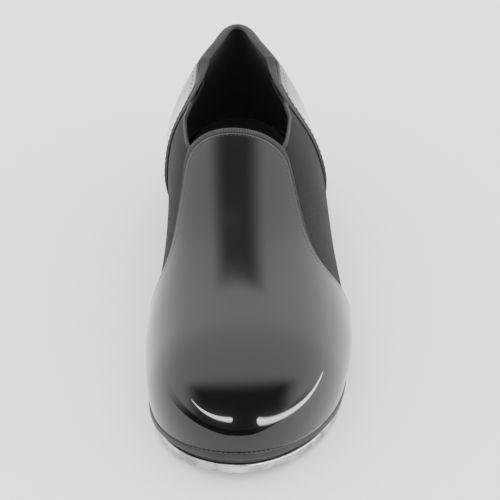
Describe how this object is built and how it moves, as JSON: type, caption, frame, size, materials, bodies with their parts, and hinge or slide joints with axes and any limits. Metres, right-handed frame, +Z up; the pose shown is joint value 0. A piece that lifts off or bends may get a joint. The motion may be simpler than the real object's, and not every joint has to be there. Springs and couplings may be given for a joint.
{
  "type": "tap shoe",
  "caption": "Left slip-on tap shoe in black patent: low heel, elastic side gores, bound collar, metal plates screwed under toe and heel.",
  "frame": {"origin": "middle of the bounding box on the ground, at the height of the tap faces the shoe stands on", "axes": "+Z up, +Y from toe to heel along the shoe, +X to the outer side of the foot"},
  "size_m": [0.091, 0.2532, 0.0882],
  "materials": {
    "patent": "black patent, high gloss",
    "gore": "ribbed elastic webbing, matt",
    "binding": "woven tape, matt",
    "lining": "black cloth",
    "stiffener": "thermoplastic sheet",
    "board": "cellulose insole board",
    "sock": "cloth over thin foam",
    "filler": "cork sheet",
    "sole": "resin rubber, satin edge",
    "heel": "moulded, satin",
    "tap_board": "matt",
    "tap_metal": "cast, tumbled",
    "steel": "bright"
  },
  "bodies": {
    "rear": {"outsole": "sole", "heel_tap": "tap_metal", "heel_top_lift": "tap_board", "heel_block": "heel", "insole_board": "board", "sock_liner": "sock", "bottom_filler": "filler", "shank": "steel", "heel_tap_screw_1": "steel", "heel_tap_screw_2": "steel", "heel_tap_screw_3": "steel", "heel_nail_1": "steel", "heel_nail_2": "steel", "heel_nail_3": "steel", "heel_nail_4": "steel", "vamp": "patent", "vamp_lining": "lining", "quarter_medial": "patent", "quarter_lateral": "patent", "quarter_lining": "lining", "heel_counter": "stiffener", "backstay": "patent", "gore_medial": "gore", "gore_lateral": "gore", "throat_binding": "binding", "collar_binding": "binding"},
    "forefoot": {"toe_tap": "tap_metal", "toe_tap_board": "tap_board", "toe_tap_screw_1": "steel", "toe_tap_screw_2": "steel", "toe_tap_screw_3": "steel", "toe_tap_screw_4": "steel", "toe_puff": "stiffener"}
  },
  "joints": [
    {"name": "toe_flex", "type": "hinge", "parent": "rear", "child": "forefoot", "pos_m": [0, -0.02662, 0.01], "axis": [-1, 0, 0], "range_deg": [0, 25], "stiffness_Nm_per_rad": 4, "deforming": ["vamp", "vamp_lining", "outsole", "insole_board", "sock_liner", "bottom_filler", "gore_medial", "gore_lateral", "throat_binding"]}
  ]
}
